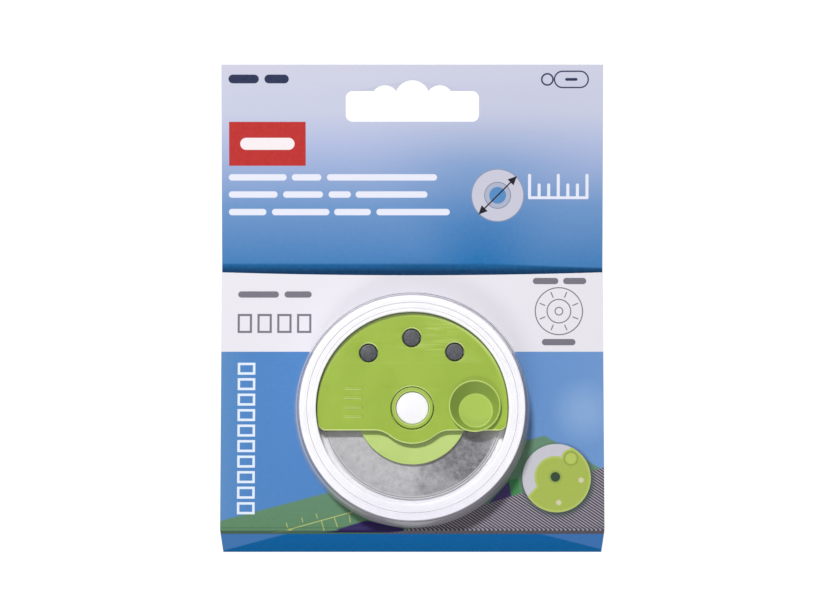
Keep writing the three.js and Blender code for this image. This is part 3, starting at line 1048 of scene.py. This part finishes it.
def holder_painted_light(graph, colour):
    """Painted shade in the finger cup, painted light on its floor, painted highlights on lip and
    edges, painted glare on the plate.
    """
    point = graph.flat_point(graph.x, graph.y)
    # Painted highlight: a paler band along the plate's upper edge, lifting the shadow that the
    # tray's rim casts there.
    rim = -graph.disc(point, (0, 0), PLATE["radius"] - 0.75)
    rim = graph.cover(rim, 0.4) * graph.span(graph.y, 4, 14)
    colour = graph.mix(rim * 0.35, colour, linear(206, 222, 140))
    # Painted shade on the finger cup's sloping wall, painted light on its floor and a painted
    # highlight round the floor's edge.
    mouth = graph.disc(point, CUP_CENTRE, CUP_MOUTH)
    floor = graph.disc(point, CUP_FLOOR_CENTRE, CUP_FLOOR_RADIUS)
    colour = graph.painted(colour, mouth.both(-floor), (124, 150, 54), soft=0.3, share=0.85)
    colour = graph.painted(colour, floor, (158, 183, 76), soft=0.3, share=0.8)
    colour = graph.painted(colour, floor.outline(0.25), (176, 198, 100), share=0.6)
    # Painted highlight along the eased edges that face downwards, outside the cup.
    eased = graph.span(graph.normal()[1], -0.12, -0.45) * graph.cover(graph.z - 5, 0.06)
    eased = eased * graph.cover(-mouth, 0.1)
    colour = graph.mix(eased * 0.9, colour, linear(226, 242, 160))
    # Painted highlight on the finger cup's raised lip.
    lip_highlight = graph.cover(graph.z - 6.3, 0.08)
    colour = graph.mix(lip_highlight * 0.6, colour, linear(190, 210, 116))
    # Painted glare: pale streaks on the plate near its top, standing in for a lamp's reflection.
    streak = graph.noise(1.1, detail=4, roughness=0.6, stretch=(0.1, 2.2, 1))
    glare = graph.smooth(graph.span(graph.disc(point, **GLARE_PATCH), 0, 5))
    glare = glare * graph.span(streak, 0.45, 0.65)
    return graph.mix(glare * 0.4, colour, linear(196, 212, 128))


def hub_marks(graph, colour):
    """The sleeve's top has the holder's deeper colour, with a paler inner edge."""
    sleeve = graph.cover(graph.z - 4.6, 0.3)
    colour = graph.mix(sleeve, colour, linear(146, 171, 62))
    point = graph.flat_point(graph.x, graph.y)
    inner = graph.disc(point, (0, 0), HUB_PROFILE[0][0] + 0.3)
    return graph.mix(sleeve * graph.cover(inner, 0.2) * 0.5, colour, linear(190, 208, 128))


def magnet_metal():
    """A sintered magnet: dull plated grey with pale specks."""
    graph = Graph("magnet_metal")
    speck = graph.noise(2.6, detail=6, roughness=0.8)
    colour = graph.mix(graph.span(speck, 0.42, 0.66), linear(44, 46, 51), linear(94, 96, 101))
    return graph.finish(
        graph.shader(
            Base_Color=colour,
            Metallic=0.45,
            Roughness=0.48,
            Normal=graph.bump(speck, 0.02),
        )
    )


def blade_steel():
    """Ground steel: rings of fine grinding marks, a bright bevel and a cloudy darker patch to one
    side.
    """
    graph = Graph("blade_steel")
    radius = graph.off_axis()
    rings = graph.node("TexNoise", noise_dimensions="1D")
    graph.put(rings.inputs["W"], radius)
    rings.inputs["Scale"].default_value = 3.4
    rings.inputs["Detail"].default_value = 4
    film = graph.noise(0.9, detail=6, roughness=0.75, distortion=0.3)
    cloud = graph.noise(0.09, detail=2)
    # A cloudy darker patch to one side of the blade.
    patch = graph.disc(graph.flat_point(graph.x, graph.y), **DARK_PATCH)
    darker = graph.span(patch + (cloud - 0.5) * 26, -3, 6)
    pale = graph.mix(graph.span(film, 0.3, 0.7), linear(158, 157, 160), linear(181, 180, 183))
    dull = graph.mix(graph.span(film, 0.3, 0.7), linear(84, 83, 87), linear(144, 143, 148))
    colour = graph.mix(darker, pale, dull)
    edge = graph.cover(radius - BLADE_BEVEL_FROM, 0.1)
    colour = graph.mix(edge * 0.8, colour, linear(186, 186, 189))
    groove = graph.math("SUBTRACT", 0.1, abs(radius - BLADE_GROOVE))
    colour = graph.painted(colour, groove, (64, 62, 66), share=0.55)
    colour = graph.painted(colour, radius - BLADE_RIM_FROM, (226, 226, 228), share=0.8)
    gloss = graph.span(film, 0.25, 0.75) * 0.2 + 0.3
    return graph.finish(
        graph.shader(
            Base_Color=colour,
            Metallic=0.4,
            Roughness=gloss,
            Normal=graph.bump(Field(graph, rings.outputs["Fac"]), 0.006),
        )
    )


def spine_front_material(length):
    """Blue with two paler corners. The flap's artwork runs a little past the front fold."""

    def colour_of(graph):
        from_fold = graph.y - length
        point = graph.flat_point(graph.x, from_fold)
        base = graph.mix(graph.span(graph.y, 0, length), linear(0, 128, 208), linear(0, 137, 226))
        left = -graph.side(point, *SPINE_CORNERS["left"])
        right = -graph.side(point, *SPINE_CORNERS["right"])
        base = graph.painted(base, left, (96, 166, 246), soft=0.8)
        base = graph.painted(base, right, (88, 160, 246), soft=0.8)
        art = flap_art(graph, graph.x, from_fold)
        return graph.painted(base, from_fold + SPINE_ART_EDGE, art, soft=0.2)

    return coated_front("spine_front", colour_of, roughness=0.6, shine=0.03)


def three_sided(mesh):
    """Gives the front, the back and the cut edges of a board their own materials."""
    for face in mesh.polygons:
        height = face.normal.z
        face.material_index = 0 if height > 0.5 else 1 if height < -0.5 else 2


def holder_mesh():
    """The plate with its skirt, finger cup, magnet bosses and grip ribs, as one solid."""
    places = [magnet_centre(angle) for angle in MAGNETS.values()]
    pockets = [circle(x, y, MAGNET_POCKET) for x, y in places]
    sheet = cut_sheet(
        "finger_cup_holder",
        plate_outline(),
        [circle(0, 0, HUB_HOLE), *pockets],
        PLATE_BOTTOM,
        PLATE["top"],
        PLATE_ROUND,
    )
    skirt = cut_sheet(
        "skirt", skirt_outline(), [], SKIRT["bottom"], SKIRT["top"], SKIRT["round"]
    )
    cup = turned("cup", CUP_OUTSIDE, *CUP_CENTRE, skew=CUP_SHIFT)
    hollow = turned("hollow", CUP_INSIDE, *CUP_CENTRE, skew=CUP_SHIFT)
    bosses = [turned("boss", BOSS_PROFILE, x, y) for x, y in places]
    middle = (RIBS["count"] - 1) / 2
    ribs = [
        cut_sheet("rib", rib_outline(RIBS["y"] + (i - middle) * RIBS["pitch"]), [], **RIB_SIDES)
        for i in range(RIBS["count"])
    ]
    added = [("UNION", mesh) for mesh in (skirt, cup, *bosses, *ribs)]
    return combined(sheet, *added, ("DIFFERENCE", hollow))


# ---- the pieces ----


def add_piece(name, mesh, place, body, node, slot_name, *materials):
    """A piece that stands for one CAD node, shaded smooth between its sharper edges."""
    thing = bpy.data.objects.new(name, mesh)
    scene.collection.objects.link(thing)
    thing.matrix_world = place
    for material in materials:
        mesh.materials.append(material)
    mesh.shade_smooth()
    mesh.set_sharp_from_angle(angle=SMOOTH_ANGLE)
    weighted = thing.modifiers.new("flat_faces", "WEIGHTED_NORMAL")
    weighted.keep_sharp = True
    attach(thing, body)
    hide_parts(node)
    return thing


BACK = board_back()
EDGE = board_edge()
WHITE = white_plastic()
LIME = lime_plastic("lime_plastic", (137, 163, 46), (145, 171, 54), holder_painted_light)
PALE_LIME = lime_plastic("pale_lime_plastic", (166, 188, 103), (175, 196, 113), hub_marks)
MAGNET = magnet_metal()

upright = frame_at(Vector((0, 0, 0)), ACROSS, Vector((0, 0, 1)), Vector((0, -1, 0)))
half = CARD_HALF_WIDTH
card_foot = REAR_FOLD.z / MM + FOLD_OVERLAP
back_card = cut_sheet(
    "printed_back_card",
    [(-half, card_foot), (half, card_foot), (half, CARD_TOP), (-half, CARD_TOP)],
    [slot_outline()],
    -CARD_HALF_THICKNESS,
    CARD_HALF_THICKNESS,
    EDGE_ROUND,
)
three_sided(back_card)
add_piece(
    "printed_back_card",
    back_card,
    upright,
    "back_card",
    "back_card",
    "printed_card_back",
    coated_front("card_front", card_art),
    BACK,
    EDGE,
)

up_spine = (FRONT_FOLD - REAR_FOLD).normalized()
spine_length = (FRONT_FOLD - REAR_FOLD).length / MM
spine_place = frame_at(REAR_FOLD, ACROSS, up_spine, ACROSS.cross(up_spine))
spine = swept_across("printed_spine", spine_section(spine_length, CARD_HALF_THICKNESS), half)
for face in spine.polygons:
    side = abs(face.normal.x) > 0.5
    face.material_index = 2 if side else 0 if face.normal.z > -0.1 else 1
add_piece(
    "printed_spine",
    spine,
    spine_place,
    "bottom_spine",
    "bottom_spine",
    "printed_card_spine",
    spine_front_material(spine_length),
    BACK,
    EDGE,
)

flap_place = frame_at(FRONT_FOLD, ACROSS, UP_FLAP, CASE_AXIS)
window_height = (BLADE_MIDDLE - FRONT_FOLD).dot(UP_FLAP) / MM
flap = cut_sheet(
    "printed_flap",
    [(-half, FOLD_OVERLAP), (half, FOLD_OVERLAP)] + sagging_edge(half),
    [circle(0, window_height, WINDOW_RADIUS)],
    -CARD_HALF_THICKNESS,
    CARD_HALF_THICKNESS,
    EDGE_ROUND,
)
three_sided(flap)
add_piece(
    "printed_flap",
    flap,
    flap_place,
    "front_flap",
    "front_flap",
    "printed_card_flap",
    coated_front("flap_front", lambda graph: flap_art(graph, graph.x, graph.y)),
    BACK,
    EDGE,
)

GLUE = hot_melt()
for side in ("left", "right"):
    strip = frame["nodes"]["glue_strip_" + side]
    strip.data.materials.clear()
    strip.data.materials.append(GLUE)

case_place = frame_at(BLADE_MIDDLE - CASE_AXIS * BLADE_HEIGHT * MM, ACROSS, UP_FLAP, CASE_AXIS)
tray = turned("white_case_tray", TRAY_PROFILE)
for vertex in tray.vertices:
    vertex.co.y = max(vertex.co.y, TRAY_FLAT * MM)
add_piece(
    "white_case_tray", tray, case_place, "front_flap", "case_tray", "white_tray_plastic", WHITE
)
lid = add_piece(
    "clear_case_lid",
    turned("clear_case_lid", LID_PROFILE),
    case_place,
    "case_lid",
    "case_lid",
    "clear_lid_plastic",
    clear_plastic(),
)
lid.visible_shadow = False
add_piece(
    "round_blade",
    turned("round_blade", BLADE_PROFILE),
    case_place,
    "blade",
    "blade",
    "blade_steel",
    blade_steel(),
)
add_piece(
    "hub_cover",
    combined(
        turned("hub_cover", HUB_PROFILE),
        ("DIFFERENCE", turned("notch", HUB_NOTCH, *CUP_FLOOR_CENTRE)),
    ),
    case_place,
    "blade_holder",
    "hub_disc",
    "pale_lime_plastic",
    PALE_LIME,
)
add_piece(
    "finger_cup_holder",
    holder_mesh(),
    case_place,
    "blade_holder",
    "holder_plate",
    "lime_plastic",
    LIME,
)
for node, angle in MAGNETS.items():
    add_piece(
        "round_" + node,
        turned(node, MAGNET_PROFILE, *magnet_centre(angle)),
        case_place,
        "blade_holder",
        node,
        "magnet",
        MAGNET,
    )

# ---- camera, light and floor ----

CAMERA = {"distance": 0.8, "elevation": 3.5, "aim": (-0.0002, 0, -0.0565), "lens": 139.2}
FLOOR_DROP = 0.75
ROOM_LIGHT = 0.3
SEEN_BACKDROP = 1.05
REFLECTED_ROOM = 0.6
LAMPS = {
    "lamp_above": {"elevation": 42, "azimuth": -20, "power": 12.3, "size": (0.2, 0.12)},
    "lamp_below": {"elevation": -40, "azimuth": -15, "power": 3.3, "size": (0.5, 0.25)},
    "lamp_behind": {"elevation": 35, "azimuth": 180, "power": 9.0, "size": (0.9, 0.9)},
}
LAMP_DISTANCE = 1.1
FLOOR_REACH = 6
FLOOR_GLOW = 0.75


def view_point(centre, distance, elevation, azimuth=0):
    """A point that distance away and its direction; azimuth 0 is in front, 90 on the right."""
    e, a = math.radians(elevation), math.radians(azimuth)
    back = Vector((math.sin(a) * math.cos(e), -math.cos(a) * math.cos(e), math.sin(e)))
    return centre + back * distance, back


camera = bpy.data.objects.new("camera", bpy.data.cameras.new("camera"))
scene.collection.objects.link(camera)
camera.location, looking_back = view_point(
    Vector(CAMERA["aim"]), CAMERA["distance"], CAMERA["elevation"]
)
camera.rotation_mode = "QUATERNION"
camera.rotation_quaternion = (-looking_back).to_track_quat("-Z", "Y")
camera.data.lens = CAMERA["lens"]
camera.data.sensor_width = 36
camera.data.clip_start = 0.01
scene.camera = camera

centre = (cad_low + cad_high) / 2
for name, facts in LAMPS.items():
    light = bpy.data.lights.new(name, "AREA")
    light.shape = "RECTANGLE"
    light.size, light.size_y = facts["size"]
    light.energy = facts["power"]
    lamp = bpy.data.objects.new(name, light)
    scene.collection.objects.link(lamp)
    lamp.location, back = view_point(centre, LAMP_DISTANCE, facts["elevation"], facts["azimuth"])
    lamp.rotation_mode = "QUATERNION"
    lamp.rotation_quaternion = (-back).to_track_quat("-Z", "Y")
    lamp.visible_camera = False

world = bpy.data.worlds.new("studio")
scene.world = world
world.use_nodes = True
tree = world.node_tree
background = tree.nodes["Background"]
background.inputs["Color"].default_value = (1, 1, 1, 1)
path = tree.nodes.new("ShaderNodeLightPath")
strength = ROOM_LIGHT
for ray, level in (("Is Camera Ray", SEEN_BACKDROP), ("Is Glossy Ray", REFLECTED_ROOM)):
    raised = tree.nodes.new("ShaderNodeMath")
    raised.operation = "MULTIPLY_ADD"
    tree.links.new(path.outputs[ray], raised.inputs[0])
    raised.inputs[1].default_value = level - ROOM_LIGHT
    if strength is ROOM_LIGHT:
        raised.inputs[2].default_value = ROOM_LIGHT
    else:
        tree.links.new(strength, raised.inputs[2])
    strength = raised.outputs[0]
tree.links.new(strength, background.inputs["Strength"])

floor_mesh = bpy.data.meshes.new("floor")
floor_z = cad_low.z - FLOOR_DROP
floor_corners = [(-1, -1), (1, -1), (1, 1), (-1, 1)]
floor_mesh.from_pydata(
    [(x * FLOOR_REACH, y * FLOOR_REACH, floor_z) for x, y in floor_corners], [], [(0, 1, 2, 3)]
)
floor = bpy.data.objects.new("floor", floor_mesh)
scene.collection.objects.link(floor)
floor_graph = Graph("pale_floor")
floor_tone = floor_graph.mix(
    floor_graph.noise(0.004, detail=2), linear(243, 243, 244), linear(250, 250, 250)
)
floor_mesh.materials.append(
    floor_graph.finish(
        floor_graph.shader(
            Base_Color=floor_tone,
            Roughness=0.9,
            Emission_Color=(1, 1, 1, 1),
            Emission_Strength=FLOOR_GLOW,
        )
    )
)
floor.visible_diffuse = False
floor.visible_glossy = False
scene.view_settings.view_transform = "Standard"
